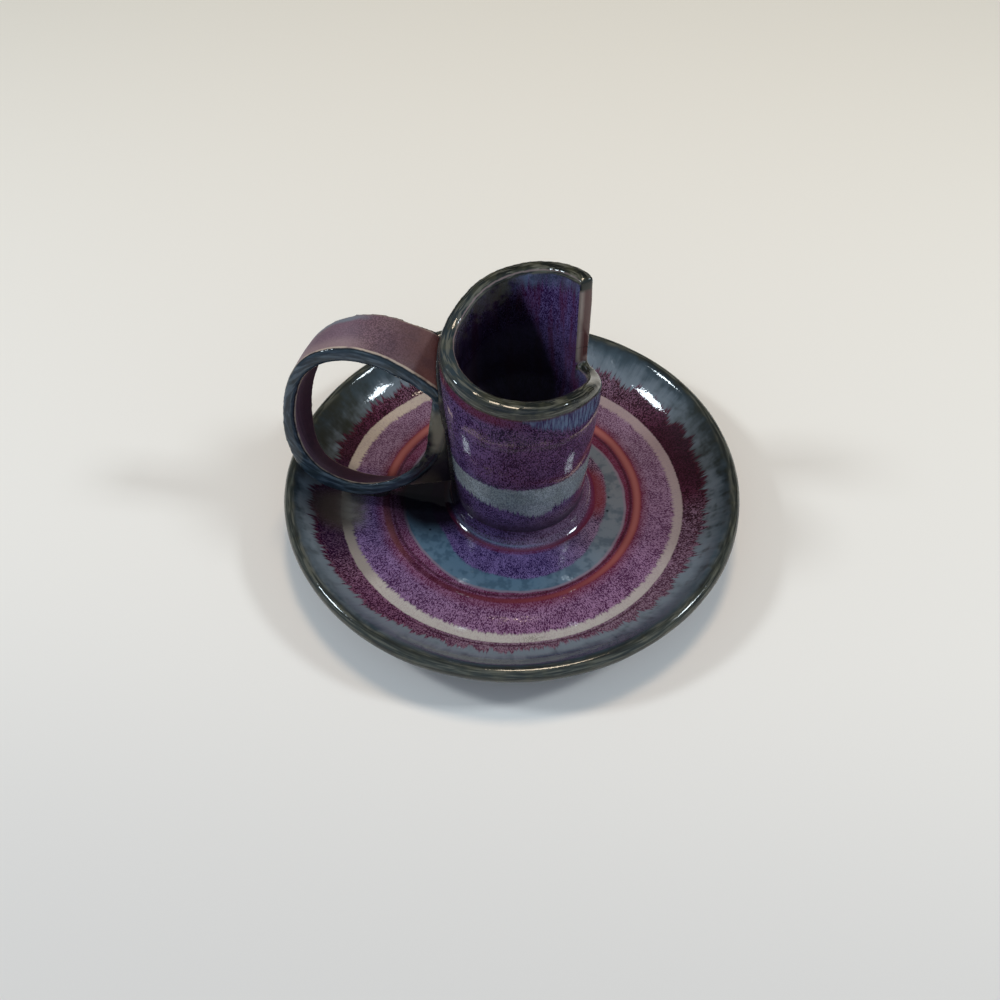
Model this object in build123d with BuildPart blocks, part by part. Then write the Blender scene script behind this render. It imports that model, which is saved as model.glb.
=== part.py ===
"""Stoneware chamberstick: a thrown dish, an open candle socket with a spiral rim and a strap finger loop.

Millimetres, +Z up. The origin is the middle of the foot ring on the table. The loop reaches out along -X.
"""
import os
from math import cos, radians, sin

from build123d import *

os.makedirs("parts", exist_ok=True)

# Dish
dish_radius = 60.0
rim_height = 14.6
lip_radius = 2.0
foot_inset = 8.5
foot_width = 6.0
foot_recess = 1.5
floor_height = 5.4
wall_run = 13.0
wall_start_rise = 1.2
ridge_radius = 34.1
ridge_width = 3.2
ridge_rise = 0.5
ridge_height = 0.7

# Candle socket, standing a little off the dish's middle
socket_x = 1.85
socket_y = 1.95
socket_height = 66.6
socket_top_radius = 19.4
socket_base_radius = 17.0
socket_flare_height = 40.0
socket_wall = 4.0
seat_wall = 5.5
candle_seat_depth = 22.0
seat_funnel_height = 8.0
cut_angle = 38.0
rim_turn = 356.0
rim_height_shares = (
    0.602, 0.665, 0.755, 0.782, 0.791, 0.802, 0.818, 0.824, 0.846, 0.907, 0.948, 0.980, 1.006,
)

# Clay slip and the coil that join the pieces
slip = 0.4
coil_width = 3.9
coil_height = 4.2
coil_hollow_share = 0.34
pad_length = 11.0
pad_width = 3.0
pad_height = 5.0
pad_place_share = 0.52

# Finger loop: outlines as shares of its reach and rise, from the socket's wall over the top and back again.
# A lean is how far an edge goes back over the loop's rise.
loop_lip_gap = 2.45
loop_below_tip = 10.4
loop_front_offset = 12.5
loop_foot_width = 7.8
loop_front_lean = 5.6
loop_back_lean = 8.4
front_outer_shares = (
    (-0.112, 0.715), (0.141, 0.870), (0.490, 0.968), (0.773, 0.900), (0.958, 0.661),
    (0.996, 0.441), (0.886, 0.189), (0.603, 0.095), (0.282, 0.171), (-0.009, 0.470),
)
front_inner_shares = (
    (0.021, 0.739), (0.230, 0.838), (0.527, 0.898), (0.765, 0.827), (0.890, 0.640),
    (0.910, 0.450), (0.800, 0.252), (0.560, 0.175), (0.264, 0.261), (0.079, 0.461),
)
back_outer_shares = (
    (-0.112, 0.900), (0.131, 0.966), (0.389, 1.000), (0.665, 0.932), (0.881, 0.730),
    (0.956, 0.400), (0.880, 0.150), (0.600, 0.034), (0.264, 0.046), (-0.136, 0.120),
)
back_inner_shares = (
    (0.026, 0.845), (0.200, 0.900), (0.389, 0.930), (0.600, 0.875), (0.790, 0.690),
    (0.861, 0.395), (0.792, 0.180), (0.565, 0.098), (0.264, 0.115), (0.051, 0.329),
)

# Cutters run past what they cut by this much
overrun = 5.0

foot_radius = dish_radius - foot_inset
foot_inner_radius = foot_radius - foot_width
wall_start_radius = dish_radius - wall_run
wall_start_height = floor_height + wall_start_rise
lip_center_radius = dish_radius - lip_radius
lip_center_height = rim_height - lip_radius
ridge_foot = floor_height + ridge_rise
socket_foot = floor_height + slip
socket_knee = floor_height + socket_flare_height
socket_top = floor_height + socket_height
mouth_radius = socket_top_radius - socket_wall
candle_seat_radius = socket_base_radius - seat_wall
funnel_foot = floor_height + candle_seat_depth
funnel_top = funnel_foot + seat_funnel_height
loop_start = socket_x - socket_top_radius
loop_reach = dish_radius - loop_lip_gap + loop_start
loop_rise = socket_height - loop_below_tip
socket_axis = Axis((socket_x, socket_y, 0), (0, 0, 1))
socket_plane = Plane((socket_x, socket_y, 0), x_dir=(1, 0, 0), z_dir=(0, -1, 0))


def on_lip(angle):
    """A point of the dish's round lip, by its angle from straight outward."""
    across = lip_radius * cos(radians(angle))
    up = lip_radius * sin(radians(angle))
    return lip_center_radius + across, lip_center_height + up


with BuildPart() as dish:
    with BuildSketch(Plane.XZ):
        with BuildLine():
            ridge_out = (ridge_radius + ridge_width / 2, ridge_foot)
            ridge_top = (ridge_radius, ridge_foot + ridge_height)
            ridge_in = (ridge_radius - ridge_width / 2, floor_height)
            Polyline(
                (0, floor_height),
                (0, foot_recess),
                (foot_inner_radius - foot_recess, foot_recess),
                (foot_inner_radius, 0),
                (foot_radius, 0),
            )
            Spline((foot_radius, 0), on_lip(-45), tangents=((1, 1), (1, 1)))
            ThreePointArc(on_lip(-45), on_lip(45), on_lip(135))
            wall_start = (wall_start_radius, wall_start_height)
            Spline(on_lip(135), wall_start, ridge_out, tangents=((-1, -1), (-1, 0)))
            ThreePointArc(ridge_out, ridge_top, ridge_in)
            Line(ridge_in, (0, floor_height))
        make_face()
    revolve(axis=Axis.Z)
dish.part.label = "dish"


def rim_curve(radius):
    """The spiral rim as a curve at one distance from the socket's axis, from the cut's foot to its tip."""
    steps = len(rim_height_shares) - 1
    points = []
    for step, share in enumerate(rim_height_shares):
        angle = radians(cut_angle - rim_turn * step / steps)
        height = floor_height + socket_height * share
        points.append((socket_x + radius * cos(angle), socket_y + radius * sin(angle), height))
    return Edge.make_spline(points)


with BuildPart() as candle_socket:
    with BuildSketch(socket_plane):
        with BuildLine():
            Polyline(
                (socket_base_radius, socket_foot),
                (socket_top_radius, socket_knee),
                (socket_top_radius, socket_top),
                (mouth_radius, socket_top),
                (mouth_radius, funnel_top),
                (candle_seat_radius, funnel_foot),
                (candle_seat_radius, socket_foot),
                close=True,
            )
        make_face()
    revolve(axis=socket_axis)
    rim_inside = rim_curve(mouth_radius / 2)
    rim_outside = rim_curve(socket_top_radius + overrun)
    above_rim = Face.make_surface_from_curves(rim_inside, rim_outside)
    extrude(above_rim, amount=socket_height, dir=(0, 0, 1), mode=Mode.SUBTRACT)
candle_socket.part.label = "candle_socket"

with BuildPart() as socket_slip_ring:
    with BuildSketch(Plane((socket_x, socket_y, floor_height))):
        Circle(socket_base_radius)
        Circle(candle_seat_radius, mode=Mode.SUBTRACT)
    extrude(amount=slip)
socket_slip_ring.part.label = "socket_slip_ring"

with BuildPart() as socket_base_coil:
    with BuildSketch(socket_plane):
        with BuildLine():
            coil_out = (socket_base_radius + coil_width, floor_height)
            coil_top = (socket_base_radius, floor_height + coil_height)
            coil_hollow = (
                socket_base_radius + coil_width * coil_hollow_share,
                floor_height + coil_height * coil_hollow_share,
            )
            ThreePointArc(coil_out, coil_hollow, coil_top)
            Polyline(coil_top, (candle_seat_radius, floor_height), coil_out)
        make_face()
    revolve(axis=socket_axis)
    add(candle_socket.part, mode=Mode.SUBTRACT)
    add(socket_slip_ring.part, mode=Mode.SUBTRACT)
socket_base_coil.part.label = "socket_base_coil"


def loop_plane(distance, lean):
    """A plane across the loop, a distance behind the socket's axis, leaning back. Its x runs out."""
    origin = (loop_start, socket_y + distance, floor_height)
    return Plane(origin, x_dir=(-1, 0, 0), z_dir=(0, loop_rise, -lean))


front_plane = loop_plane(-loop_front_offset, loop_front_lean)
back_plane = loop_plane(loop_foot_width - loop_front_offset, loop_back_lean)


def loop_body(front_shares, back_shares):
    """The solid between a front and a back outline of the loop."""
    with BuildPart() as body:
        for plane, shares in ((front_plane, front_shares), (back_plane, back_shares)):
            points = [(loop_reach * out, loop_rise * up) for out, up in shares]
            with BuildSketch(plane):
                with BuildLine():
                    Spline(*points)
                    Line(points[-1], points[0])
                make_face()
        loft()
    return body.part


def socket_envelope(gap):
    """The socket's outside as a solid, grown by a gap."""
    with BuildPart() as envelope:
        with BuildSketch(socket_plane):
            with BuildLine():
                Polyline(
                    (0, floor_height),
                    (socket_base_radius + gap, socket_foot),
                    (socket_top_radius + gap, socket_knee),
                    (socket_top_radius + gap, socket_top),
                    (0, socket_top),
                    close=True,
                )
            make_face()
        revolve(axis=socket_axis)
    return envelope.part


loop_outer = loop_body(front_outer_shares, back_outer_shares)
loop_inner = loop_body(front_inner_shares, back_inner_shares)

with BuildPart() as finger_loop:
    add(loop_outer)
    add(loop_inner, mode=Mode.SUBTRACT)
    add(socket_envelope(slip), mode=Mode.SUBTRACT)
finger_loop.part.label = "finger_loop"

with BuildPart() as loop_wall_slip:
    add(loop_outer)
    add(loop_inner, mode=Mode.SUBTRACT)
    add(socket_envelope(slip), mode=Mode.INTERSECT)
    add(socket_envelope(0), mode=Mode.SUBTRACT)
loop_wall_slip.part.label = "loop_wall_slip"

with BuildPart() as loop_foot_slip:
    pad_x = loop_start - loop_reach * pad_place_share
    pad_y = socket_y + loop_foot_width - loop_front_offset - pad_width / 2
    with BuildSketch(Plane((pad_x, pad_y, floor_height))):
        SlotOverall(pad_length, pad_width)
    extrude(amount=pad_height)
    add(loop_outer, mode=Mode.SUBTRACT)
    add(dish.part, mode=Mode.SUBTRACT)
loop_foot_slip.part.label = "loop_foot_slip"

socket_pieces = (candle_socket, socket_slip_ring, socket_base_coil)
loop_pieces = (finger_loop, loop_wall_slip, loop_foot_slip)
for piece in (dish, *socket_pieces, *loop_pieces):
    export_step(piece.part, "parts/" + piece.part.label + ".step")
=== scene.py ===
"""The looks of a stoneware chamberstick: thrown dish, spiral-rimmed socket, strap loop, and their glazes.

Shapes are in metres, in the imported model's frame. Places in a glaze are in millimetres and degrees.
"""
from math import atan2, cos, degrees, dist, pi, radians, sin

import bpy
from mathutils import Matrix, Vector


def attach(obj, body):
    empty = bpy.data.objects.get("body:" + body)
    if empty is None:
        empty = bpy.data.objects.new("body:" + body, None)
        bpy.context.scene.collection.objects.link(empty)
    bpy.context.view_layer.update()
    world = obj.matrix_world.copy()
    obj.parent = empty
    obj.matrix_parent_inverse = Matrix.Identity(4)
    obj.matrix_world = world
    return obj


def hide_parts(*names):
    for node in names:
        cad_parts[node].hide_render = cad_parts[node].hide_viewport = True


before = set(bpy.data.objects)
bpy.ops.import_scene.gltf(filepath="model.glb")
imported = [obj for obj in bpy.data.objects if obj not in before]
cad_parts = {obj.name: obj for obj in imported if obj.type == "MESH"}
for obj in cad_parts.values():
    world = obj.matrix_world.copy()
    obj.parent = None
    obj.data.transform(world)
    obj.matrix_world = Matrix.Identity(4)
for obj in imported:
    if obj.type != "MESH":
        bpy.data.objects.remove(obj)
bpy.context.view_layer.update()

# Dish
dish_radius = 0.060
rim_height = 0.0146
lip_radius = 0.0020
foot_radius = 0.0515
foot_inner_radius = 0.0455
foot_recess = 0.0015
foot_round = 0.0005
floor_height = 0.0054
wall_start = (0.0470, 0.0066)
wall_start_slope = (-0.92, -0.32)
ridge_radius = 0.0341
ridge_width = 0.0032
ridge_height = 0.00025
ridge_foot = 0.0059
lip_center = (dish_radius - lip_radius, rim_height - lip_radius)
lip_start, lip_end = -45, 135
recess_shares = (0, 0.15, 0.35, 0.55, 0.75, 0.9)
floor_shares = (1.7, 1.5, 1.3, 1.1, 0.8, 0.5, 0.25, 0)

# Candle socket
socket_x = 0.00185
socket_y = 0.00195
socket_base_radius = 0.0170
socket_flare = 0.06
socket_wall_middle = 17.4
cut_angle = 38.0
rim_heights = (45.5, 49.7, 55.7, 57.5, 58.1, 58.8, 59.9, 60.3, 61.7, 65.8, 68.5, 70.7, 72.0)

# Middle of the finger loop's opening, in millimetres
loop_middle_x = -38.0
loop_middle_z = 36.0

# Planes of the strap's front and back edges: their place at the dish's floor, and how they lean back
loop_low_z = 5.4
loop_front_y, loop_front_lean = -10.55, 0.0996
loop_back_y, loop_back_lean = -2.75, 0.1495

# Coil round the socket's foot
coil_width = 0.0039
coil_height = 0.0048
coil_sink = 0.0006
coil_lap = 0.00005

# Steps of the profiles' curves and of a turn of the wheel, and how strongly a curve keeps its direction
lip_steps, outside_steps, inside_steps, ridge_steps, coil_steps = 16, 14, 16, 8, 18
turns = 200
curve_pull = 1.17
wheel_axis = (0, 0, 1)
same_place = 1e-6
smooth_angle = 50

# Clay: the grain of a remeshed piece, how often it is rubbed, and the length and depth of its unevenness
tube_grain, strap_grain, slip_grain = 0.00048, 0.00036, 0.00030
tube_rubs, strap_rubs, strap_edge_rubs, slip_rubs = 26, 19, 32, 6
rub_share = 0.5
dish_waves, tube_waves, strap_waves = (0.030, 0.0006), (0.020, 0.0005), (0.016, 0.0003)
seam_growth, pad_growth = 0.0007, 0.0004

# Heights between which the tube's foot is rubbed and its wall grows uneven, and its raised rim
foot_rubbed_between = (0.0075, 0.009)
wall_uneven_between = (0.012, 0.035)
rim_raised_between = (-0.007, -0.003)
rim_lift = 0.0002

# Where the strap's front edge is rubbed and the back of its top is raised, in millimetres
edge_depth, edge_fade = 6.0, 2.5
free_radius, free_fade = 20.5, 4.5
lift_height, lift_rise = 44.0, 10.0
lift_behind, lift_depth = 2.0, 5.0
lift_x, lift_run = -14.5, 5.0
back_lift = 0.0010

millimetres = 1000


# Modelling


def deselect():
    """Nothing stays selected, so that an operator acts on the new piece alone."""
    bpy.ops.object.select_all(action="DESELECT")


def arc(center, radius, start, end, steps):
    """Points of a round stretch, its angles in degrees from straight outward."""
    angles = [radians(start + (end - start) * step / steps) for step in range(steps + 1)]
    return [(center[0] + radius * cos(a), center[1] + radius * sin(a)) for a in angles]


def sweep(start, leaving, end, arriving, steps):
    """Points of a smooth curve between two places, given its direction at each."""
    first, last = Vector(start), Vector(end)
    length = curve_pull * (last - first).length
    out, home = Vector(leaving).normalized() * length, Vector(arriving).normalized() * length
    points = []
    for step in range(steps + 1):
        t = step / steps
        point = first * (2 * t ** 3 - 3 * t ** 2 + 1) + out * (t ** 3 - 2 * t ** 2 + t)
        point += last * (3 * t ** 2 - 2 * t ** 3) + home * (t ** 3 - t ** 2)
        points.append(tuple(point))
    return points


def throw(name, profile, axis_x, axis_y):
    """A piece thrown on the wheel: its profile is drawn point by point, then spun round an upright axis."""
    deselect()
    bpy.ops.mesh.primitive_plane_add(size=dish_radius)
    piece = bpy.context.object
    piece.name = name
    places = [Vector((axis_x + across, axis_y, up)) for across, up in profile]
    bpy.ops.object.mode_set(mode="EDIT")
    bpy.ops.mesh.merge(type="CENTER")
    bpy.ops.transform.translate(value=places[0])
    for here, there in zip(places, places[1:]):
        bpy.ops.mesh.extrude_region_move(TRANSFORM_OT_translate={"value": there - here})
    bpy.ops.mesh.select_all(action="SELECT")
    bpy.ops.mesh.spin(steps=turns, angle=2 * pi, center=(axis_x, axis_y, 0), axis=wheel_axis)
    bpy.ops.mesh.select_all(action="SELECT")
    bpy.ops.mesh.remove_doubles(threshold=same_place)
    bpy.ops.mesh.normals_make_consistent(inside=False)
    bpy.ops.object.mode_set(mode="OBJECT")
    return piece


def finish_with(piece, kind, **settings):
    """One modifier, set and applied."""
    bpy.context.view_layer.objects.active = piece
    modifier = piece.modifiers.new(kind.lower(), kind)
    for name, value in settings.items():
        setattr(modifier, name, value)
    bpy.ops.object.modifier_apply(modifier=modifier.name)


def wobble(piece, waves, group=""):
    """The slight unevenness of a hand-made wall, given the length and depth of its waves."""
    size, depth = waves
    unevenness = bpy.data.textures.new(piece.name + "_unevenness", "CLOUDS")
    unevenness.noise_scale = size
    finish_with(piece, "DISPLACE", texture=unevenness, texture_coords="LOCAL", strength=depth, mid_level=0.5,
                vertex_group=group)


def weigh(piece, name, measure, none_at, all_at):
    """A vertex group whose weight grows from none to all with a measure of each point's place."""
    group = piece.vertex_groups.new(name=name)
    for vertex in piece.data.vertices:
        share = (measure(vertex.co) - none_at) / (all_at - none_at)
        group.add([vertex.index], min(max(share, 0.0), 1.0), "REPLACE")
    return name


def rub(piece, rounds, group=""):
    """Smooths a piece round, as a wet sponge does, where the group says."""
    finish_with(piece, "SMOOTH", factor=rub_share, iterations=rounds, vertex_group=group)


def soften(name, node, grain, growth=0.0):
    """A clay copy of a node: its triangles merged, grown a little and remeshed finely."""
    deselect()
    piece = bpy.data.objects.new(name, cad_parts[node].data.copy())
    bpy.context.scene.collection.objects.link(piece)
    piece.data.materials.clear()
    bpy.context.view_layer.objects.active = piece
    piece.select_set(True)
    bpy.ops.object.mode_set(mode="EDIT")
    bpy.ops.mesh.select_all(action="SELECT")
    bpy.ops.mesh.remove_doubles(threshold=same_place)
    bpy.ops.object.mode_set(mode="OBJECT")
    if growth:
        finish_with(piece, "DISPLACE", strength=growth, mid_level=0.0)
    finish_with(piece, "REMESH", mode="VOXEL", voxel_size=grain)
    return piece


def settle(piece, finish, slot, *nodes):
    """A finished piece gets its glaze, stands for its nodes and rides with the part."""
    deselect()
    piece.select_set(True)
    bpy.context.view_layer.objects.active = piece
    bpy.ops.object.shade_smooth_by_angle(angle=radians(smooth_angle))
    piece.data.materials.clear()
    piece.data.materials.append(finish)
    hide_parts(*nodes)
    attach(piece, "root")


def dish_profile():
    """The dish's section from under its middle, round the foot and the lip, to the middle of its floor."""
    foot_lift = foot_round / 2
    profile = [(foot_inner_radius * share, foot_recess) for share in recess_shares]
    profile += [(foot_inner_radius - foot_recess, foot_recess), (foot_inner_radius - foot_round, foot_lift)]
    profile += [(foot_inner_radius + foot_round, 0), (foot_radius - foot_round, 0)]
    lip = arc(lip_center, lip_radius, lip_start, lip_end, lip_steps)
    profile += sweep((foot_radius, foot_lift), (1, 1), lip[0], (1, 1), outside_steps)
    profile += lip[1:-1]
    ridge_out = (ridge_radius + ridge_width / 2, ridge_foot)
    profile += sweep(lip[-1], (-1, -1), wall_start, wall_start_slope, inside_steps)
    profile += sweep(wall_start, wall_start_slope, ridge_out, (-1, 0), inside_steps)[1:-1]
    for step in range(ridge_steps + 1):
        share = step / ridge_steps
        rise = ridge_height * sin(pi * share) + (ridge_foot - floor_height) * (1 - share)
        profile.append((ridge_out[0] - ridge_width * share, floor_height + rise))
    return profile + [(socket_base_radius * share, floor_height) for share in floor_shares]


def make_dish():
    dish = throw("dish_body", dish_profile(), 0, 0)
    above_foot = weigh(dish, "above_foot", lambda place: place.z, foot_recess, 2 * foot_recess)
    wobble(dish, dish_waves, above_foot)
    return dish


def make_coil():
    top_height = floor_height + coil_height
    top = (socket_base_radius + coil_height * socket_flare - coil_lap, top_height)
    out = (socket_base_radius + coil_width, floor_height - coil_sink / 6)
    inside = (socket_base_radius - coil_sink, floor_height - coil_sink)
    profile = sweep(out, (-1, 0.16), top, (socket_flare, 1), coil_steps) + [(inside[0], top_height)]
    profile += [inside, (out[0], inside[1]), out]
    return throw("socket_base_fillet", profile, socket_x, socket_y)


def over_rim(place):
    """How far a point of the socket lies above its spiral rim, in metres. Points below it are negative."""
    last = len(rim_heights) - 1
    angle = degrees(atan2(place.y - socket_y, place.x - socket_x))
    turned = (cut_angle - angle) % 360 / 360 * last
    step = min(int(turned), last - 1)
    low, high = rim_heights[step], rim_heights[step + 1]
    return place.z - (low + (high - low) * (turned - step)) / millimetres


def make_socket():
    socket = soften("socket_tube", "candle_socket", tube_grain)
    foot = weigh(socket, "above_foot", lambda place: place.z, *foot_rubbed_between)
    upper = weigh(socket, "upper_wall", lambda place: place.z, *wall_uneven_between)
    rim = weigh(socket, "near_rim", over_rim, *rim_raised_between)
    finish_with(socket, "DISPLACE", direction="Z", strength=rim_lift, mid_level=0.0, vertex_group=rim)
    rub(socket, tube_rubs, foot)
    rub(socket, tube_rubs, rim)
    wobble(socket, tube_waves, upper)
    return socket


def behind_front(place):
    """How far a point of the strap lies behind its front edge, in millimetres."""
    return millimetres * place.y - loop_front_y - (millimetres * place.z - loop_low_z) * loop_front_lean


def loop_front_share(place):
    """1 along the strap's front edge, falling to 0 at its middle and where it meets the socket."""
    off_socket = millimetres * dist(place.xy, (socket_x, socket_y)) - free_radius
    return min((edge_depth - behind_front(place)) / edge_fade, off_socket / free_fade)


def loop_top_share(place):
    """1 at the back of the strap's top, falling to 0 at its front edge and toward the socket."""
    high = (millimetres * place.z - lift_height) / lift_rise
    behind = (behind_front(place) - lift_behind) / lift_depth
    return min(high, behind, (lift_x - millimetres * place.x) / lift_run)


def make_loop():
    loop = soften("loop_strap", "finger_loop", strap_grain)
    back_top = weigh(loop, "back_top", loop_top_share, 0.0, 1.0)
    finish_with(loop, "DISPLACE", direction="Z", strength=back_lift, mid_level=0.0, vertex_group=back_top)
    rub(loop, strap_rubs)
    rub(loop, strap_edge_rubs, weigh(loop, "front_edge", loop_front_share, 0.0, 1.0))
    wobble(loop, strap_waves)
    return loop


def make_slip(name, node, growth):
    slip = soften(name, node, slip_grain, growth)
    rub(slip, slip_rubs)
    return slip


# Materials


class Amount:
    """A number that varies over a surface. Sums and products of it add Math nodes to its painting."""

    def __init__(self, painting, socket):
        self.painting = painting
        self.socket = socket

    def __add__(self, other):
        return self.painting.math("ADD", self, other)

    def __radd__(self, other):
        return self.painting.math("ADD", other, self)

    def __sub__(self, other):
        return self.painting.math("SUBTRACT", self, other)

    def __rsub__(self, other):
        return self.painting.math("SUBTRACT", other, self)

    def __mul__(self, other):
        return self.painting.math("MULTIPLY", self, other)

    def __rmul__(self, other):
        return self.painting.math("MULTIPLY", other, self)

    def __truediv__(self, other):
        return self.painting.math("DIVIDE", self, other)

    def __rtruediv__(self, other):
        return self.painting.math("DIVIDE", other, self)

    def __pow__(self, other):
        return self.painting.math("POWER", self, other)

    def __rpow__(self, other):
        return self.painting.math("POWER", other, self)


def paint(red, green, blue):
    """A colour as a screen shows it, from 0 to 255, turned into the light that it reflects."""
    shares = [v / 255 for v in (red, green, blue)]
    return (*[s / 12.92 if s < 0.04045 else ((s + 0.055) / 1.055) ** 2.4 for s in shares], 1.0)


class Painting:
    """A tree of nodes being built."""

    def __init__(self, tree):
        self.tree = tree

    def node(self, kind, settings, inputs, output=0):
        """A node of one kind, its settings first, then the values or links of its sockets."""
        made = self.tree.nodes.new(kind)
        for name, value in settings.items():
            if name == "stops":
                self.set_stops(made.color_ramp, value)
            else:
                setattr(made, name, value)
        for key, value in inputs.items():
            self.join(value, made.inputs[key])
        return Amount(self, made.outputs[output])

    def join(self, value, socket):
        """A varying amount is linked to a socket, and a plain value is set on it."""
        if isinstance(value, Amount):
            self.tree.links.new(value.socket, socket)
        else:
            socket.default_value = value

    def set_stops(self, ramp, stops):
        while len(ramp.elements) < len(stops):
            ramp.elements.new(1.0)
        for element, (position, grey) in zip(ramp.elements, stops):
            element.position = position
            element.color = (grey, grey, grey, 1)

    def math(self, operation, first, second):
        return self.node("ShaderNodeMath", {"operation": operation}, {0: first, 1: second})

    def split(self, vector):
        return [self.node("ShaderNodeSeparateXYZ", {}, {0: vector}, axis) for axis in "XYZ"]

    def past(self, value, edge, width):
        """0 before an edge and 1 after it, with a soft step of that width."""
        share = (value - edge) / width + 0.5
        return self.node("ShaderNodeMapRange", {"interpolation_type": "SMOOTHSTEP"}, {"Value": share})

    def between(self, value, low, high, width):
        return self.past(value, low, width) * (1 - self.past(value, high, width))

    def mix(self, under, over, mask):
        return self.node("ShaderNodeMix", {"data_type": "RGBA"}, {0: mask, 6: under, 7: over}, 2)


# Specks of a glaze: their width, length and detail, and the size and strength of the clouds they gather in
speck_width, speck_length, speck_detail = 0.27, 0.48, 2.5
gather_size, gather_strength = 3.5, 0.24
speck_softness = 0.15
relief_strength = 0.6
dish_usual_radius, socket_usual_radius = 45.0, 18.0
glaze_gloss, strap_gloss = 0.42, 0.36


class Glaze(Painting):
    """A material being built: where a point is, round an upright axis, and the layers painted there.

    Places are in millimetres and angles in degrees. A glaze runs out over a dish, or down an upright wall.
    """

    def __init__(self, name, axis_x=0.0, axis_y=0.0, usual_radius=dish_usual_radius, upright=False):
        self.material = bpy.data.materials.new(name)
        self.material.use_nodes = True
        super().__init__(self.material.node_tree)
        self.shader = self.tree.nodes["Principled BSDF"]
        coordinates = self.node("ShaderNodeTexCoord", {}, {}, "Object")
        facing = self.node("ShaderNodeTexCoord", {}, {}, "Normal")
        middle = (-millimetres * axis_x, -millimetres * axis_y, 0)
        scale = (millimetres, millimetres, millimetres)
        self.place = self.node("ShaderNodeMapping", {}, {
            "Vector": coordinates, "Location": middle, "Scale": scale})
        self.x, self.y, self.z = self.split(self.place)
        self.facing_x, self.facing_y, self.facing_z = self.split(facing)
        self.radius = (self.x * self.x + self.y * self.y) ** 0.5
        self.turn = self.math("ARCTAN2", self.y, self.x) / (2 * pi) + 0.5
        self.usual_radius = usual_radius
        self.run = self.z - self.radius if upright else self.radius
        specks = self.streaks(speck_width, speck_length, speck_detail)
        self.grain = specks + (self.clouds(gather_size) - 0.5) * gather_strength

    def round_axis(self, *stops):
        """A value that changes round the axis, from what it is at some angles between -180 and 180."""
        most = max(value for angle, value in stops)
        shares = [((angle + 180) / 360, value / most) for angle, value in stops]
        return self.node("ShaderNodeValToRGB", {"stops": shares}, {"Fac": self.turn}) * most

    def spot(self, angle, radius, half_out, half_round, softness=0.8):
        """1 in a spot at one place, 0 away from it, given its half sizes outward and round the axis."""
        across, along = cos(radians(angle)), sin(radians(angle))
        out = (self.x * across + self.y * along - radius) / half_out
        aside = (self.y * across - self.x * along) / half_round
        return 1 - self.past((out * out + aside * aside) ** 0.5, 1.0, softness)

    def noise(self, vector, size, detail=2.0, roughness=0.6):
        return self.node("ShaderNodeTexNoise", {}, {
            "Vector": vector, "Scale": 1 / size, "Detail": detail, "Roughness": roughness})

    def clouds(self, size, detail=2.0):
        return self.noise(self.place, size, detail)

    def streaks(self, width, length, detail=3.0):
        """Noise drawn out along the run of the glaze."""
        spread = self.usual_radius / width
        turned = self.node("ShaderNodeCombineXYZ", {}, {
            0: self.x / self.radius * spread, 1: self.y / self.radius * spread, 2: self.run / length})
        return self.noise(turned, 1.0, detail)

    def combed(self, first, second, across, width, strokes=3.0):
        """Noise in lines round a middle, given the place from there and how far it is across the lines."""
        away = (first * first + second * second) ** 0.5 / strokes
        lines = self.node("ShaderNodeCombineXYZ", {}, {0: first / away, 1: second / away, 2: across / width})
        return self.noise(lines, 1.0)

    def pinholes(self, spacing, size):
        """1 in small round holes that a gas bubble left, 0 between them."""
        distance = self.node("ShaderNodeTexVoronoi", {"feature": "F1"}, {
            "Vector": self.place, "Scale": 1 / spacing}, "Distance")
        return 1 - self.past(distance, size / spacing, size / spacing)

    def speckled(self, dark, light, cover=0.5):
        """Salt and pepper, where fine crystals of one glaze broke through another."""
        return self.mix(dark, light, self.past(self.grain, cover, speck_softness))

    def sheen(self):
        """The roughness of a glossy glaze, which varies a little."""
        return 0.04 + self.clouds(2.0) * 0.06

    def set_shader(self, **layers):
        """Joins layers to the shader's sockets of the same names."""
        for name, value in layers.items():
            self.join(value, self.shader.inputs[name.replace("_", " ")])

    def finish(self, colour, roughness, bump, bump_height, gloss=glaze_gloss):
        """Joins the layers and a relief to the shader."""
        relief = self.node("ShaderNodeBump", {}, {
            "Strength": relief_strength, "Distance": bump_height, "Height": bump})
        self.set_shader(Base_Color=colour, Roughness=roughness, Normal=relief, Specular_IOR_Level=gloss)
        return self.material


indigo_dark, indigo_light = paint(34, 16, 58), paint(114, 92, 138)
plum_dark, plum_light = paint(32, 8, 34), paint(99, 67, 99)
mauve_dark, mauve_light = paint(64, 24, 58), paint(142, 104, 134)
mauve_grey = paint(130, 106, 118)
rose_dark, rose_light = paint(84, 52, 72), paint(138, 108, 126)
wine_dark, wine_light = paint(52, 18, 42), paint(116, 74, 100)
teal_blue, teal_grey, teal_deep = paint(84, 105, 122), paint(110, 110, 113), paint(34, 54, 70)
maroon, maroon_dark, crimson = paint(88, 26, 54), paint(38, 5, 15), paint(94, 20, 36)
terracotta, ember, rust = paint(112, 42, 46), paint(156, 90, 84), paint(80, 42, 32)
cream, cream_grey, cream_warm = paint(174, 165, 158), paint(150, 126, 124), paint(182, 162, 144)
slate, slate_light, slate_dark = paint(60, 72, 80), paint(110, 118, 126), paint(28, 35, 40)
olive, olive_dark = paint(78, 75, 56), paint(32, 34, 29)
# The middle colour on the next line is painted highlight, laid in thin lines along the socket's rim and the
# dish's lip.
rim_dark, painted_glint, lip_dark = paint(24, 26, 22), paint(118, 114, 102), paint(51, 53, 48)
violet_dark, violet_light = paint(44, 16, 62), paint(114, 92, 140)
cut_clay, cut_brown = paint(146, 126, 116), paint(84, 50, 48)
coil_dark, coil_light = paint(26, 6, 40), paint(84, 64, 106)
band_dark, band_light = paint(116, 117, 121), paint(164, 165, 166)
drip_blue, drip_deep = paint(102, 118, 142), paint(52, 48, 82)
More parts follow.
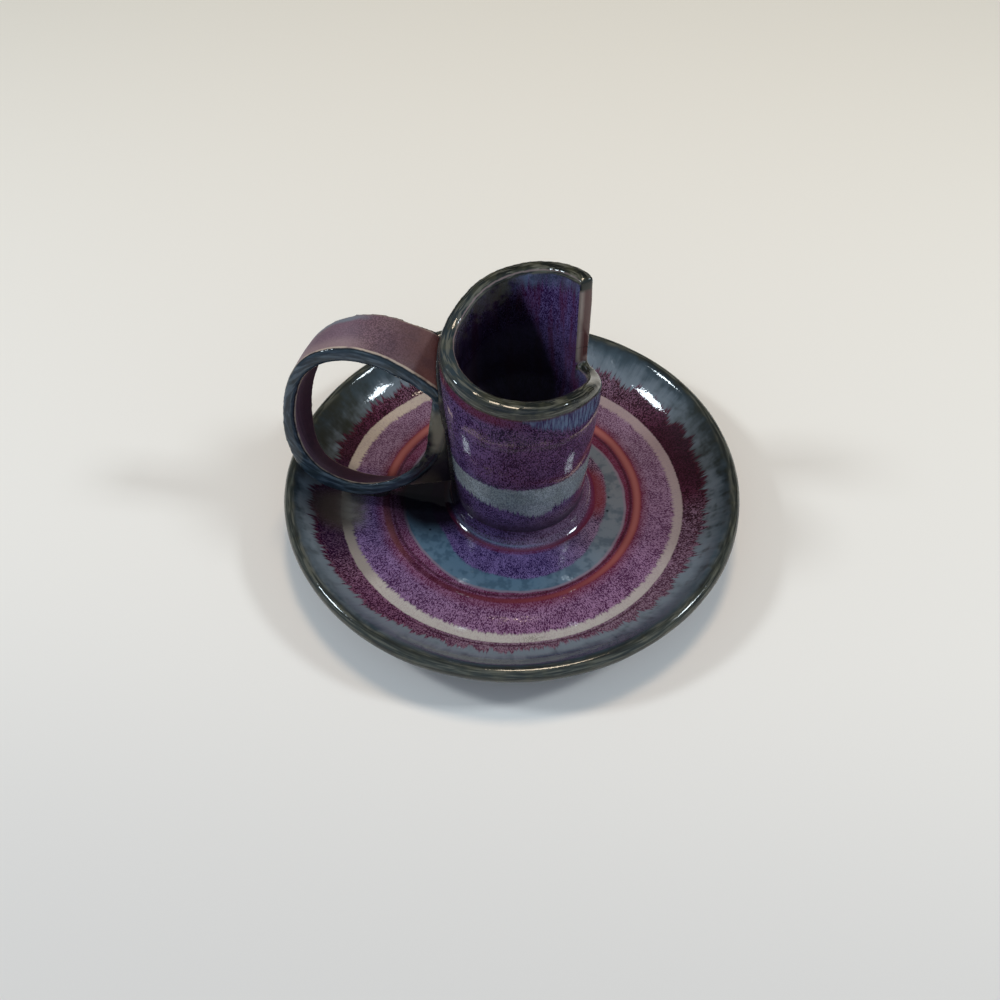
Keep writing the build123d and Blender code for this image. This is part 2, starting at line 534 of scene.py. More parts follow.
navy, edge_slate, edge_blue = paint(20, 25, 31), paint(48, 58, 64), paint(62, 75, 90)
strap_dark, strap_light, strap_rust = paint(66, 38, 50), paint(108, 78, 90), paint(104, 62, 50)
# night is near black, used for painted shade and for dark lines and cracks.
night = paint(12, 6, 12)
# The smear under the loop: its pale colour is partly painted reflection, and its brown is partly painted
# shade.
smear_reflection_pale, smear_shade_brown = paint(106, 99, 92), paint(72, 59, 52)
bare_clay, bare_clay_dark = paint(150, 118, 92), paint(112, 84, 64)

# Relief of the glazes, in metres
dish_relief, socket_relief, coil_relief = 0.00005, 0.000024, 0.00004
strap_relief, slip_relief = 0.00004, 0.0001

# Rings of the dish's glaze, in millimetres from its middle, and the heights of its skirt and bare foot
coil_line_out = 21.0
groove_in, groove_out = 31.8, 32.5
crest_in, crest_out = 33.0, 34.6
ridge_line = 33.85
blush_in, blush_red_out = 35.4, 36.5
smear_in, smear_shade_in = 39.5, 45.5
brink_in, brink_out = 46.9, 47.4
dark_wall_in, lip_in = 56.4, 57.4
skirt_top, bare_foot_top = 11.0, 1.8

# Bands of the socket's glaze, and of the painted light and shade at its foot, in millimetres above the table
crease_fill_top, foot_light_top, foot_shade_top = 11.5, 16.5, 18.0
pale_band_top, rose_low = 28.7, 32.0
cut_low, crack_low, crack_high, cut_olive_low = 46.5, 56.2, 56.5, 69.0
highest_rim = 100

# Depths below the socket's rim, half the angle of the cut's face, and the radius where that face turns brown
rim_band, rim_band_less_inside, red_depth = 2.6, 1.6, 5.6
blue_depth, olive_patch_fade_depth, olive_patch_depth, dull_depth = 4.0, 8.0, 10.0, 16.0
cut_half_angle, cut_clear_angle = 9, 12
cut_brown_radius = 16.6

# Lines of the coil's glaze, in millimetres from the socket's axis
coil_blue_in, coil_blue_out, coil_maroon_in, coil_crimson_in = 18.7, 19.1, 19.4, 20.1

# Places on the finger loop, in millimetres: across the part, above the table, and in from the strap's edges
rust_x, rust_z = -26.0, 38
plum_x, plum_z = -30.0, 53.0
pale_x, pale_z, pale_front, pale_back = -36.0, 50.0, 3.5, 2.0
inner_left_x, inner_left_front = -46.0, 3.2
front_edge, back_edge, edge_core = 0.85, 0.5, 0.42
front_arris, back_arris = (0.8, 1.25), (0.5, 0.8)
tail_x, tail_z, tail_olive_z = -25.0, 41.0, 26.0
pale_edge_x, pale_edge_low, pale_edge_high, pale_edge_front = -18.9, 31.0, 43.0, 1.4


def dish_glaze():
    """Rings of glaze laid on the turning dish, from the socket's foot to the lip, and down the outside."""
    glaze = Glaze("dish_glaze_rings")
    past, between, mix, spot, speckled = glaze.past, glaze.between, glaze.mix, glaze.spot, glaze.speckled
    drift = (glaze.clouds(8.0) - 0.5) * 1.1
    fray = (glaze.streaks(0.55, 2.5) - 0.5) * 3.0
    teeth = (glaze.streaks(0.75, 25.0) - 0.5) * 6.0 + (glaze.streaks(3.2, 30.0) - 0.5) * 6.0
    feather = (glaze.streaks(0.3, 6.0) - 0.5) * 2.6
    wisps = glaze.streaks(2.2, 9.0, 2.0) * 0.4 + glaze.clouds(4.0) * 0.6 - 0.5
    r = glaze.radius + drift

    indigo = speckled(indigo_dark, indigo_light)
    colour = mix(indigo, speckled(plum_dark, rose_light), glaze.round_axis(
        (-60, 0), (-25, 0.8), (40, 1), (180, 0)))
    colour = mix(colour, terracotta, spot(12, 22.5, 3.2, 7.5) * 0.8)
    off_axis_x, off_axis_y = glaze.x - millimetres * socket_x, glaze.y - millimetres * socket_y
    from_socket = (off_axis_x * off_axis_x + off_axis_y * off_axis_y) ** 0.5
    shown = glaze.round_axis((-180, 0), (-148, 0.05), (-128, 0.5), (60, 0.5), (180, 0))
    colour = mix(colour, crimson, (1 - past(from_socket + fray * 0.2, coil_line_out, 0.9)) * shown)

    teal_in = glaze.round_axis((-180, 22), (-135, 21.5), (-110, 25), (-75, 27.2), (-45, 27.2), (-15, 25.5),
                               (20, 26), (60, 26), (120, 25), (180, 22))
    teal_out = glaze.round_axis((-180, 29.2), (-140, 29.4), (-100, 31), (-50, 31.8), (-20, 31.3), (10, 30.8),
                                (45, 29.5), (120, 29.5), (180, 29.2))
    teal = mix(teal_blue, teal_grey, glaze.round_axis(
        (-180, 0), (-70, 0), (-25, 0.7), (20, 1), (90, 0.6), (180, 0)))
    teal = mix(teal, teal_deep, past(glaze.clouds(3.0), 0.54, 0.18) * 0.45)
    teal = mix(teal, navy, glaze.pinholes(6.5, 0.35) * 0.9)
    colour = mix(colour, teal, past(r + fray * 0.5, teal_in, 0.8))
    colour = mix(colour, mauve_grey, between(r, teal_out - 0.6, teal_out + 0.1, 0.5) * 0.7)
    inner_maroon = mix(speckled(mauve_dark, mauve_light), crimson, glaze.round_axis(
        (-180, 0.2), (-110, 0.35), (-60, 0.6), (20, 0.75), (120, 0.6), (174, 0.5), (180, 0.2)))
    colour = mix(colour, inner_maroon, past(r, teal_out, 0.5))

    line = glaze.radius + drift * 0.35
    ridge = mix(speckled(plum_dark, rose_dark), crimson, glaze.round_axis(
        (-180, 0.05), (-150, 0.05), (-120, 0.25), (-85, 0.7), (-40, 0.8), (60, 0.9), (140, 0.9), (174, 0.6),
        (180, 0.05)))
    warm = glaze.round_axis((-180, 0.1), (-130, 0), (-90, 0.1), (-50, 0.3), (-10, 0.8), (60, 0.9), (140, 1),
                            (174, 0.9), (180, 0.1))
    ridge = mix(ridge, terracotta, warm)
    # A lighter ember stretch on the ridge at the front left, partly painted highlight.
    ridge = mix(ridge, ember, glaze.round_axis(
        (-180, 0), (-166, 0), (-153, 0.35), (-143, 0.25), (-129, 0), (180, 0)))
    ridge = mix(ridge, ember, between(line, crest_in, crest_out, 1.4) * warm)
    colour = mix(colour, maroon_dark, between(line, groove_in, groove_out, 0.6) * 0.6)
    half_ridge = glaze.round_axis((-180, 1.2), (-140, 0.8), (-60, 0.75), (-20, 1.1), (60, 1.2), (180, 1.2))
    colour = mix(colour, ridge, between(line, ridge_line - half_ridge, ridge_line + half_ridge, 0.8))

    blush = mix(speckled(mauve_dark, mauve_light), speckled(rose_dark, rose_light), glaze.round_axis(
        (-180, 0.5), (-60, 0), (-20, 0.2), (30, 1), (172, 1), (180, 0.5)))
    blush = mix(blush, indigo, glaze.round_axis(
        (-180, 0.6), (-150, 0.8), (-125, 0.4), (-100, 0.1), (-80, 0), (174, 0), (180, 0.6)))
    blush = mix(blush, crimson, (1 - past(r, blush_red_out, 3.0)) * 0.45)
    colour = mix(colour, blush, past(r + fray * 0.5, blush_in, 1.2))

    cream_in = glaze.round_axis((-180, 43.6), (-120, 43.1), (-60, 43.6), (0, 43.6), (20, 43.1), (60, 42.2),
                                (110, 42.4), (140, 42.9), (157, 43.5), (180, 43.6))
    cream_out = glaze.round_axis((-180, 46), (-60, 46.2), (0, 46.0), (20, 45.6), (60, 45.2), (140, 45.8),
                                 (160, 46.5), (180, 46))
    pale = mix(cream, cream_grey, glaze.round_axis(
        (-180, 0), (-60, 0), (-10, 0.6), (30, 1), (90, 0.8), (180, 0)))
    pale = mix(pale, cream_warm, glaze.round_axis((-180, 0.8), (-120, 0), (100, 0), (150, 1), (180, 0.8)))
    # Under the loop the cream ring turns to the smear's pale taupe, which is partly painted reflection.
    pale = mix(pale, smear_reflection_pale, glaze.round_axis(
        (-180, 0.9), (-150, 0.7), (-138, 0.6), (-131, 0), (174, 0), (180, 0.9)))
    pale = mix(pale, mauve_grey, past(glaze.grain, 0.56, 0.2) * 0.35)
    pale = mix(pale, olive, spot(-75, 45, 0.9, 2.5, 1.6) * past(glaze.grain, 0.5, 0.2) * 0.5)
    band_r = glaze.radius + drift * 0.4
    colour = mix(colour, pale, past(band_r + fray, cream_in, 0.9))

    deep = speckled(maroon_dark, rose_light, 0.54)
    deep = mix(deep, speckled(maroon_dark, maroon), glaze.round_axis(
        (-180, 0), (0, 0), (8, 0.9), (38, 0.9), (60, 0.3), (130, 0.3), (155, 0.9), (180, 0.7)))
    deep = mix(deep, speckled(wine_dark, wine_light), glaze.round_axis(
        (-180, 0), (-150, 0.1), (-130, 0.9), (-100, 0.7), (-80, 0.2), (-20, 0.4), (5, 0.1), (180, 0)))
    deep = mix(deep, maroon_dark, glaze.round_axis(
        (-180, 0.7), (-150, 0.5), (-138, 0), (0, 0), (15, 0.7), (35, 0.7), (48, 0), (150, 0), (165, 0.6),
        (180, 0.7)))
    deep = mix(deep, speckled(rose_dark, mauve_grey), glaze.round_axis(
        (-180, 0), (-115, 0), (-90, 0.8), (-45, 0.7), (-15, 0.2), (5, 0), (180, 0)))
    deep = mix(deep, indigo_dark, glaze.round_axis((-180, 0.4), (-150, 0.4), (-138, 0), (172, 0), (180, 0.4)))
    frontward = glaze.round_axis((-180, 0), (-130, 0.3), (-105, 1), (-45, 1), (-20, 0), (180, 0))
    deep = mix(deep, maroon_dark, between(line, brink_in, brink_out, 0.4) * frontward * 0.6)
    colour = mix(colour, deep, past(band_r + fray * 0.2, cream_out, 0.4))

    wall_foot = glaze.round_axis(
        (-180, 51.5), (-172, 53), (-165, 54), (-135, 52.3), (-105, 50), (-75, 48.9), (-60, 48.9), (-45, 50),
        (-15, 51.3), (15, 52), (45, 52), (60, 51), (140, 49.8), (160, 50), (173, 50.3), (180, 51.5))
    slate_edge = wall_foot + teeth
    colour = mix(colour, crimson, between(glaze.radius, slate_edge - 0.9, slate_edge, 0.5) * 0.25)
    beyond = glaze.radius - wall_foot
    wall = mix(slate_light, slate, past(beyond + wisps * 6 + teeth * 0.4, 3.0, 4.0))
    wall = mix(wall, slate_dark, past(glaze.radius + wisps * 5, dark_wall_in, 3.5))
    # Lighter slate wisps on the front-left and front-right of the wall, painted light where those walls face
    # the side lamps.
    wall = mix(wall, slate_light, past(wisps, -0.05, 0.3) * glaze.round_axis(
        (-162, 0), (-142, 0.7), (-115, 0.6), (-98, 0.1), (-50, 0), (-35, 0.4), (-5, 0.4), (8, 0), (180, 0)))
    wall = mix(wall, olive_dark, past(wisps, 0.08, 0.2) * glaze.round_axis(
        (-180, 0.4), (-60, 0.1), (-30, 0.5), (0, 0.9), (35, 0.8), (55, 0.1), (140, 0.3), (156, 1),
        (180, 0.9)))
    wall = mix(wall, mix(olive_dark, olive, 0.3), past(wisps, -0.1, 0.3) * glaze.round_axis(
        (-180, 0.7), (-168, 0), (8, 0), (18, 0.45), (32, 0.5), (42, 0), (142, 0), (158, 0.8), (180, 0.7)))
    wall = mix(wall, teal_deep, spot(-70, 54, 2.4, 12.0) * past(wisps, -0.12, 0.2) * 0.75)
    colour = mix(colour, wall, past(glaze.radius + feather, slate_edge, 1.3))
    edge = mix(lip_dark, olive, past(glaze.streaks(3.0, 4.0), 0.58, 0.2) * 0.3)
    # Combed lines round the lip: the pale ones are painted highlight, the others near-black streaks.
    lines = glaze.combed(glaze.x, glaze.y, glaze.radius - glaze.z, 0.7, 7.0)
    edge = mix(edge, painted_glint, past(lines, 0.56, 0.14) * 0.35)
    edge = mix(edge, night, (1 - past(lines, 0.43, 0.14)) * 0.5)
    colour = mix(colour, edge, past(glaze.radius + wisps * 2, lip_in, 1.6))

    # A glaze smear under the loop: pale taupe that is partly painted reflection, browner outward where it is
    # partly painted shade of the loop.
    smear_and_shade = mix(smear_reflection_pale, smear_shade_brown, past(glaze.radius + drift * 2, smear_shade_in, 5.0))
    smear_and_shade = mix(smear_and_shade, smear_shade_brown, past(glaze.streaks(3.0, 5.0), 0.52, 0.25) * 0.5)
    under_loop = spot(-165, 45.5, 8.0, 6.5, 0.9)
    colour = mix(colour, smear_and_shade, under_loop * past(r + fray, smear_in, 5.0) * 0.9)
    # Painted shade on the floor under the loop and beside the socket.
    colour = mix(colour, night, spot(-172, 20, 13.0, 12.0, 0.6) * 0.97)

    outside = 1 - past(glaze.facing_z, -0.1, 0.3)
    skirt = mix(speckled(maroon_dark, maroon), edge, past(glaze.z + teeth * 0.3, skirt_top, 1.0))
    colour = mix(colour, skirt, outside)
    clay = mix(bare_clay, bare_clay_dark, glaze.clouds(1.2))
    bared = 1 - past(glaze.z, bare_foot_top, 0.3)
    colour = mix(colour, clay, bared * outside)
    rough = glaze.sheen() + bared * 0.45
    return glaze.finish(colour, rough, glaze.clouds(1.4), dish_relief)


def rim_depth(glaze):
    """How far a point lies below the socket's spiral rim."""
    share = (cut_angle / 360 + 0.5) - glaze.turn
    share = glaze.node("ShaderNodeMath", {"operation": "FRACT"}, {0: share})
    last = len(rim_heights) - 1
    stops = [(step / last, height / highest_rim) for step, height in enumerate(rim_heights)]
    rim = glaze.node("ShaderNodeValToRGB", {"stops": stops}, {"Fac": share})
    return rim * highest_rim - glaze.z


def socket_glaze():
    """Speckled plum with a pale band round the tube, blue drips under an olive rim, and a violet inside
    darkened by painted shade.
    """
    glaze = Glaze("socket_glaze_bands", socket_x, socket_y, socket_usual_radius, True)
    past, between, mix, speckled = glaze.past, glaze.between, glaze.mix, glaze.speckled
    teeth = (glaze.streaks(0.8, 25.0) - 0.5) * 8.0
    fray = (glaze.streaks(0.55, 2.0) - 0.5) * 3.0
    runs = (glaze.streaks(0.5, 9.0) - 0.5) * 8.0
    drift = (glaze.clouds(8.0) - 0.5) * 1.2
    z = glaze.z + drift
    depth = rim_depth(glaze)

    plum = speckled(plum_dark, plum_light)
    blueness = glaze.round_axis(
        (-180, 0.5), (-150, 0.8), (-115, 0.4), (-85, 0), (-40, 0.1), (30, 0.3), (180, 0.5))
    colour = mix(plum, speckled(indigo_dark, indigo_light), blueness)
    band = mix(speckled(band_dark, band_light), teal_blue, glaze.round_axis(
        (-180, 0.6), (-145, 0.2), (-125, 0), (180, 0.6)))
    band = mix(band, slate, glaze.round_axis(
        (-180, 0), (-115, 0), (-98, 0.4), (-85, 0.35), (-68, 0), (180, 0)))
    band = mix(band, olive, past(glaze.clouds(5.0), 0.52, 0.15) * 0.15)
    colour = mix(colour, band, 1 - past(z + fray * 0.7, pale_band_top, 1.0))
    low = mix(speckled(plum_dark, plum_light), speckled(indigo_dark, indigo_light), 0.6)
    drips = glaze.round_axis(
        (-180, 21), (-120, 21), (-90, 19.5), (-65, 16.6), (-45, 19.6), (-20, 18), (180, 21))
    colour = mix(colour, low, 1 - past(z + teeth * 0.6 + runs * 0.6, drips, 1.6))
    foot_light = glaze.round_axis((-180, 0), (-95, 0), (-60, 0.55), (0, 0.65), (40, 0), (180, 0))
    colour = mix(colour, speckled(rose_dark, rose_light), foot_light * (1 - past(z, foot_light_top, 5.0)))
    # Painted light, lifting the shade in the crease where the tube meets the coil.
    colour = mix(colour, plum_light, (1 - past(z, crease_fill_top, 3.0)) * 0.35)
    # Painted shade on the left of the tube's foot.
    foot_shade = glaze.round_axis((-180, 0.7), (-150, 0.6), (-130, 0.2), (-112, 0), (140, 0), (180, 0.7))
    colour = mix(colour, night, foot_shade * (1 - past(z, foot_shade_top, 9.0)))
    drip_edge = glaze.round_axis((-180, 70), (-90, 58), (-72, 53), (-55, 50), (-40, 48), (-32, 47), (-20, 47),
                                 (0, 45), (20, 40), (60, 70), (180, 70))
    drip = mix(drip_blue, drip_deep, past(glaze.streaks(0.5, 4.0), 0.5, 0.3))
    colour = mix(colour, drip, past(z + runs * 0.5 + fray * 0.4, drip_edge, 2.0) * 0.85)
    leftmost = glaze.round_axis((-180, 0.5), (-155, 0.45), (-140, 0.1), (-128, 0), (150, 0), (180, 0.5))
    colour = mix(colour, speckled(rose_dark, rose_light), leftmost * past(z, rose_low, 8.0))
    reddish = glaze.round_axis((-180, 0.6), (-150, 0.9), (-100, 0.8), (-80, 0.1), (150, 0.1), (180, 0.6))
    colour = mix(colour, crimson, between(depth, rim_band, red_depth, 2.4) * reddish * 0.75)

    inside = 1 - past(glaze.radius, socket_wall_middle, 0.6)
    violet = speckled(violet_dark, violet_light)
    violet = mix(violet, maroon, past(glaze.streaks(3.0, 20.0), 0.54, 0.2) * 0.6)
    blue_run = mix(drip_blue, olive_dark, past(glaze.clouds(4.0), 0.5, 0.2) * 0.6)
    violet = mix(violet, blue_run, (1 - past(depth + teeth * 1.2, blue_depth, 4.0)) * glaze.round_axis(
        (-180, 0.1), (20, 0.3), (40, 0.5), (95, 0.7), (118, 0.2), (180, 0.1)))
    # A dark olive patch inside the rim at the back left, turning near black in clouds and further down.
    olive_patch_share = glaze.round_axis((-180, 0.5), (-150, 0.1), (95, 0), (112, 0.85), (180, 0.5))
    olive_patch = mix(olive, night, past(glaze.clouds(3.0) + depth * 0.03, 0.66, 0.3))
    violet = mix(violet, olive_patch, olive_patch_share * (1 - past(depth, olive_patch_depth, 6.0)))
    # Painted shade inside: below the depth that light reaches at each angle, the violet turns near black.
    reach = glaze.round_axis(
        (-180, 2), (-60, 6), (-10, 24), (30, 44), (60, 36), (80, 20), (100, 5), (120, 1), (180, 2))
    unlit = past(depth, reach, 8.0) * 0.9
    violet = mix(violet, night, unlit * (1 - olive_patch_share * (1 - past(depth, olive_patch_fade_depth, 6.0)) * 0.7))
    colour = mix(colour, violet, inside)

    rim = mix(rim_dark, slate, glaze.round_axis(
        (-180, 0.4), (-140, 0.55), (-105, 0.05), (120, 0), (180, 0.4)))
    rim = mix(rim, olive, past(glaze.clouds(4.0), 0.52, 0.2) * 0.4)
    # Combed pale lines along the rim are painted highlight.
    lines = glaze.combed(glaze.x, glaze.y, glaze.radius + depth, 0.5)
    rim = mix(rim, painted_glint, past(lines, 0.54, 0.14) * 0.45)
    rim_edge = rim_band - inside * rim_band_less_inside
    colour = mix(colour, rust, between(depth, rim_edge - 0.6, rim_edge + 0.5, 0.5) * (1 - inside) * 0.55)
    colour = mix(colour, rim, 1 - past(depth + fray * 0.2, rim_edge, 0.8))
    near_rim = 1 - past(depth, rim_band, 0.8)
    # Painted shade on the outer shoulder of the rim, placed by the way the surface faces.
    shoulder_shade = between(glaze.facing_z, 0.45, 0.85, 0.3) * (1 - inside) * near_rim
    colour = mix(colour, night, shoulder_shade * 0.55)
    # A pale line on the rim's inner edge: painted highlight, partly over a thin pale glaze.
    inner_arris_glint = between(glaze.facing_z, 0.5, 0.72, 0.15) * inside * near_rim
    colour = mix(colour, cream_grey, inner_arris_glint * glaze.round_axis(
        (-180, 0.7), (-90, 0.6), (0, 0.3), (180, 0.7)))
    cut_way = glaze.facing_x * sin(radians(cut_angle)) - glaze.facing_y * cos(radians(cut_angle))
    on_cut = glaze.round_axis(
        (-180, 0), (cut_angle - cut_clear_angle, 0), (cut_angle - cut_half_angle, 1),
        (cut_angle + cut_half_angle, 1), (cut_angle + cut_clear_angle, 0), (180, 0))
    cut_face = past(cut_way, 0.55, 0.25) * on_cut * past(glaze.z, cut_low, 1.0)
    bared = mix(cut_clay, cut_brown, past(glaze.radius + fray * 0.1, cut_brown_radius, 1.2))
    slant = glaze.z + glaze.radius * 0.25 + glaze.clouds(1.0) * 2.0
    bared = mix(bared, night, between(slant, crack_low, crack_high, 0.5) * 0.5)
    bared = mix(bared, olive_dark, past(glaze.z + drift, cut_olive_low, 1.2))
    colour = mix(colour, bared, cut_face)
    rough = glaze.sheen() + inside * past(depth, dull_depth, 8.0) * 0.5
    return glaze.finish(colour, rough, glaze.clouds(1.2), socket_relief)


def coil_glaze():
    """The speckle of the tube's foot, with a red line where the coil meets the dish, and painted shade on its
    left.
    """
    glaze = Glaze("coil_glaze_speckle", socket_x, socket_y, socket_usual_radius, True)
    colour = glaze.speckled(coil_dark, coil_light)
    rightward = glaze.round_axis((-180, 0), (-100, 0), (-60, 0.6), (0, 0.7), (40, 0.2), (180, 0))
    colour = glaze.mix(colour, glaze.speckled(rose_dark, rose_light), rightward)
    leftward = glaze.round_axis((-180, 0), (-130, 0.4), (-80, 0.4), (-55, 0), (180, 0))
    blue_line = glaze.between(glaze.radius, coil_blue_in, coil_blue_out, 0.4)
    colour = glaze.mix(colour, drip_blue, blue_line * leftward)
    colour = glaze.mix(colour, maroon, glaze.past(glaze.radius, coil_maroon_in, 0.7) * 0.85)
    colour = glaze.mix(colour, crimson, glaze.past(glaze.radius, coil_crimson_in, 0.5) * 0.5)
    # Painted shade on the left of the coil.
    colour = glaze.mix(colour, night, glaze.round_axis(
        (-180, 0.95), (-152, 0.9), (-130, 0.25), (-110, 0), (130, 0), (165, 0.9), (180, 0.95)))
    return glaze.finish(colour, glaze.sheen(), glaze.clouds(1.2), coil_relief)


def loop_glaze():
    """A thin matt mauve on the strap's flat sides, broken to slate along its edges, with cream lines there
    that are partly painted highlight.
    """
    glaze = Glaze("loop_glaze_breaks")
    past, between, mix = glaze.past, glaze.between, glaze.mix
    strap = mix(strap_dark, strap_light, past(glaze.noise(glaze.place, 0.35), 0.5, 0.25))
    strap = mix(strap, strap_rust, past(glaze.x, rust_x, 12.0) * past(glaze.z, rust_z, 6.0) * 0.8)
    strap = mix(strap, plum_dark, past(glaze.clouds(5.0), 0.55, 0.2) * 0.25)
    strap = mix(strap, plum_dark, past(glaze.x, plum_x, 8.0) * past(glaze.z, plum_z, 6.0) * 0.25)
    from_front = glaze.y - loop_front_y - (glaze.z - loop_low_z) * loop_front_lean
    from_back = loop_back_y + (glaze.z - loop_low_z) * loop_back_lean - glaze.y
    unsteady = (glaze.clouds(3.0) - 0.5) * 0.4
    # Painted sheen on the strap's top at the left, paler toward the front edge, with light slate along the
    # back edge.
    top_left_sheen_and_edge = (1 - past(glaze.x, pale_x, 8.0)) * past(glaze.z, pale_z, 8.0)
    strap = mix(strap, mauve_grey, top_left_sheen_and_edge * 0.45)
    strap = mix(strap, cream_grey, top_left_sheen_and_edge * (1 - past(from_front, pale_front, 3.0)) * 0.5)
    strap = mix(strap, slate_light, top_left_sheen_and_edge * (1 - past(from_back + unsteady * 3, pale_back, 1.0)) * 0.8)
    inward = (loop_middle_x - glaze.x) * glaze.facing_x + (loop_middle_z - glaze.z) * glaze.facing_z
    inner = past(inward, 0.0, 8.0)
    strap = mix(strap, glaze.speckled(plum_dark, wine_dark), inner * 0.8)
    # Painted highlight streaks on the inner face at the left.
    inner_left_glints = inner * (1 - past(glaze.x, inner_left_x, 6.0))
    inner_left_glints = inner_left_glints * (1 - past(from_front, inner_left_front, 4.0))
    strap = mix(strap, rose_light, inner_left_glints * (0.2 + past(glaze.streaks(0.8, 6.0), 0.5, 0.3) * 0.35))
    inset = from_front + unsteady
    on_edge = 1 - past(inset, front_edge, 0.3) * past(from_back + unsteady, back_edge, 0.4)
    mottle = glaze.clouds(5.0) * 0.7 + glaze.clouds(1.2) * 0.3
    edge = mix(edge_slate, edge_blue, past(mottle, 0.5, 0.3))
    edge = mix(edge, navy, past(mottle, 0.56, 0.2) * 0.5)
    out_x, out_z = glaze.x - loop_middle_x, glaze.z - loop_middle_z
    lines = glaze.combed(out_x, out_z, (out_x * out_x + out_z * out_z) ** 0.5, 0.9)
    edge = mix(edge, navy, past(lines, 0.52, 0.2) * 0.6)
    edge = mix(edge, slate_light, (1 - past(lines, 0.42, 0.15)) * 0.35)
    edge = mix(edge, navy, past(inset, edge_core, 0.25) * 0.9)
    colour = mix(strap, edge, on_edge)
    # Cream lines along the edges: partly the glaze breaking thin, partly painted highlight.
    arris_and_glint = between(inset, *front_arris, 0.25) + between(from_back + unsteady, *back_arris, 0.3) * 0.4
    tail = past(glaze.x, tail_x, 7.0) * (1 - past(glaze.z, tail_z, 12.0))
    colour = mix(colour, cream_warm, arris_and_glint * (1 - tail) * past(glaze.clouds(3.0), 0.4, 0.3) * 0.75)
    # Painted shade on the strap's tail beside the socket, with olive patches higher up.
    mossy = past(glaze.clouds(3.0), 0.5, 0.3) * past(glaze.z, tail_olive_z, 14.0) * 0.7
    colour = mix(colour, mix(night, olive, mossy), tail * 0.9)
    # A lighter olive-tan patch on the tail's front edge beside the socket.
    pale_edge = between(glaze.z + unsteady * 8, pale_edge_low, pale_edge_high, 5.0)
    pale_edge = pale_edge * past(glaze.x + unsteady * 3, pale_edge_x, 2.2) * (1 - past(inset, pale_edge_front, 0.6))
    colour = mix(colour, mix(olive, cream_warm, 0.35), pale_edge * 0.85)
    rough = 0.5 - on_edge * 0.44 + glaze.clouds(2.0) * 0.06
    return glaze.finish(colour, rough, glaze.clouds(1.0), strap_relief, strap_gloss)


def slip_finish(name):
    glaze = Glaze(name)
    colour = glaze.mix(glaze.speckled(olive_dark, olive), plum_dark, glaze.clouds(2.0))
    return glaze.finish(colour, 0.2 + glaze.clouds(2.0) * 0.15, glaze.clouds(1.0), slip_relief)


# The pieces

settle(make_dish(), dish_glaze(), "dish_glaze", "dish")
settle(make_coil(), coil_glaze(), "coil_glaze", "socket_base_coil")

settle(make_socket(), socket_glaze(), "socket_glaze", "candle_socket")
settle(make_loop(), loop_glaze(), "loop_glaze", "finger_loop")

seam_finish = slip_finish("slip_seam_glaze")
settle(make_slip("loop_wall_seam", "loop_wall_slip", seam_growth), seam_finish, "slip_clay", "loop_wall_slip")
settle(make_slip("loop_foot_pad", "loop_foot_slip", pad_growth), seam_finish, "slip_clay", "loop_foot_slip")
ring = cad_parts["socket_slip_ring"]
ring.data.materials.clear()
ring.data.materials.append(slip_finish("slip_ring_clay"))


# Floor, light and camera

table_size = 16.0
table_colour = paint(241, 233, 226)
# The floor turns darker toward the camera: painted shade.
table_shaded_near_colour, near_y, near_fade = paint(228, 221, 216), -80.0, 120.0
table_far_colour, far_y, far_fade = paint(239, 228, 213), 100.0, 500.0
table_roughness, table_gloss = 0.85, 0.1
backdrop_colour, backdrop_radius, backdrop_fade = paint(212, 210, 204), 750.0, 700.0
room_front, room_back, room_fade = (0.40, 0.52, 0.63, 1.0), (0.08, 0.08, 0.08, 1.0), 1.4
window_tint, bulb_tint = (0.80, 0.92, 1.0), (1.0, 0.82, 0.62)

# Each lamp's name, place, width, power and tint
lamps = (
    ("left_lamp", (-0.50, -0.07, 0.50), 0.10, 1.65, window_tint),
    ("right_lamp", (0.50, 0.04, 0.50), 0.10, 1.60, window_tint),
    ("top_lamp", (0.02, 0.20, 0.80), 0.16, 1.95, bulb_tint),
)
camera_place = (0.02525, -0.17369, 0.22990)
camera_elevation = 52.19
camera_azimuth = 9.3
camera_roll = -0.55
camera_lens = 37.8
camera_sensor = 36.0
camera_near, camera_far = 0.01, 10.0


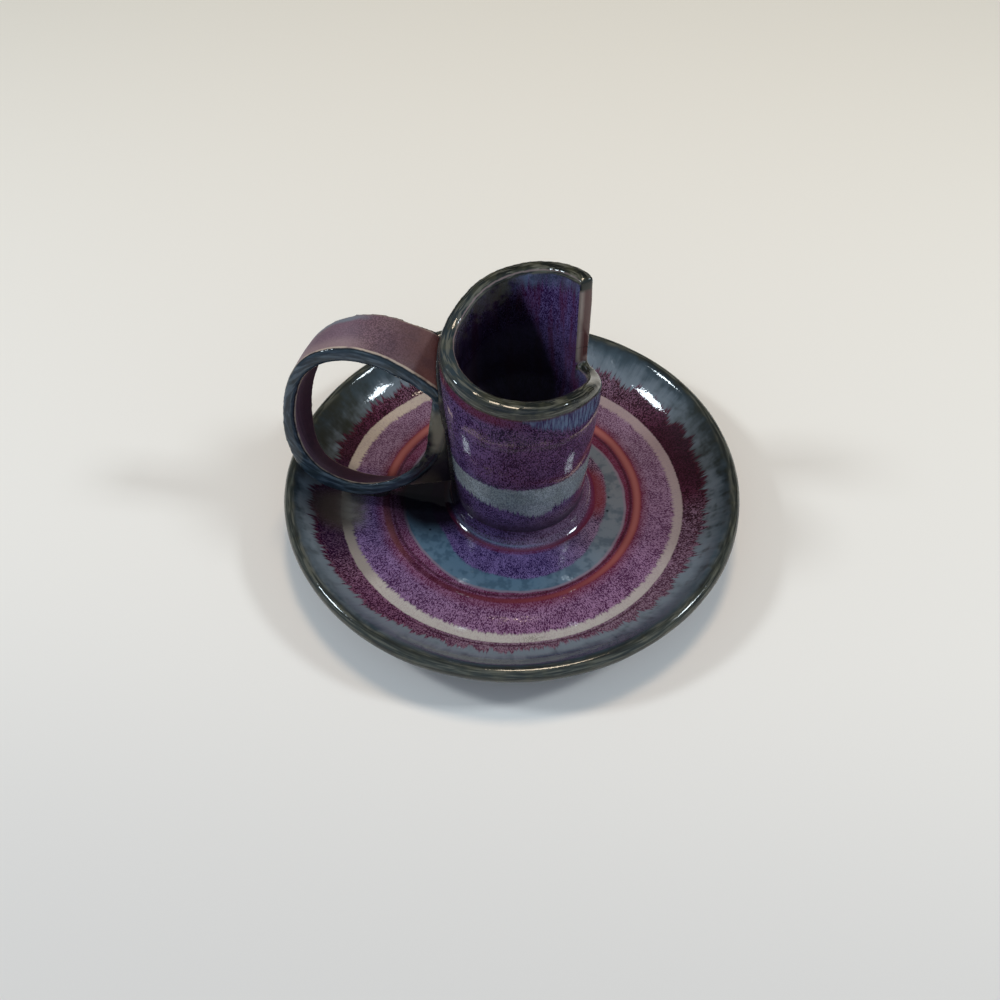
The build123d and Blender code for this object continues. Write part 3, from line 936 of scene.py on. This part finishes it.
def make_floor():
    deselect()
    bpy.ops.mesh.primitive_plane_add(size=table_size)
    floor = bpy.context.object
    floor.name = "floor"
    cover = Glaze("floor_cover")
    colour = cover.mix(table_shaded_near_colour, table_colour, cover.past(cover.y, near_y, near_fade))
    colour = cover.mix(colour, table_far_colour, cover.past(cover.y, far_y, far_fade))
    cover.set_shader(Base_Color=colour, Roughness=table_roughness, Specular_IOR_Level=table_gloss)
    seen = cover.node("ShaderNodeLightPath", {}, {}, "Is Camera Ray")
    far = cover.past(cover.radius, backdrop_radius, backdrop_fade) * seen
    backdrop = cover.node("ShaderNodeEmission", {}, {"Color": backdrop_colour})
    lit = Amount(cover, cover.shader.outputs[0])
    blend = cover.node("ShaderNodeMixShader", {}, {0: far, 1: lit, 2: backdrop})
    cover.join(blend, cover.tree.nodes["Material Output"].inputs["Surface"])
    floor.data.materials.append(cover.material)


def make_lamp(name, place, width, power, tint):
    lamp = bpy.data.lights.new(name, "AREA")
    lamp.shape = "SQUARE"
    lamp.size = width
    lamp.energy = power
    lamp.color = tint
    holder = bpy.data.objects.new(name, lamp)
    bpy.context.scene.collection.objects.link(holder)
    holder.location = place
    holder.rotation_euler = (-Vector(place)).to_track_quat("-Z", "Y").to_euler()


def make_light():
    for lamp in lamps:
        make_lamp(*lamp)
    world = bpy.data.worlds.new("room")
    bpy.context.scene.world = world
    world.use_nodes = True
    room = Painting(world.node_tree)
    direction = room.split(room.node("ShaderNodeTexCoord", {}, {}, "Generated"))
    colour = room.mix(room_front, room_back, room.past(direction[1], 0.0, room_fade))
    seen = room.node("ShaderNodeLightPath", {}, {}, "Is Camera Ray")
    colour = room.mix(colour, backdrop_colour, seen)
    room.join(colour, room.tree.nodes["Background"].inputs["Color"])


def make_camera():
    lens = bpy.data.cameras.new("camera")
    lens.lens, lens.sensor_width = camera_lens, camera_sensor
    camera = bpy.data.objects.new("camera", lens)
    bpy.context.scene.collection.objects.link(camera)
    turn = Matrix.Rotation(radians(camera_azimuth), 3, "Z")
    turn = turn @ Matrix.Rotation(radians(90 - camera_elevation), 3, "X")
    turn = turn @ Matrix.Rotation(radians(camera_roll), 3, "Z")
    camera.location = camera_place
    camera.rotation_euler = turn.to_euler()
    lens.clip_start, lens.clip_end = camera_near, camera_far
    bpy.context.scene.camera = camera


make_floor()
make_light()
make_camera()
bpy.context.scene.view_settings.view_transform = "Standard"
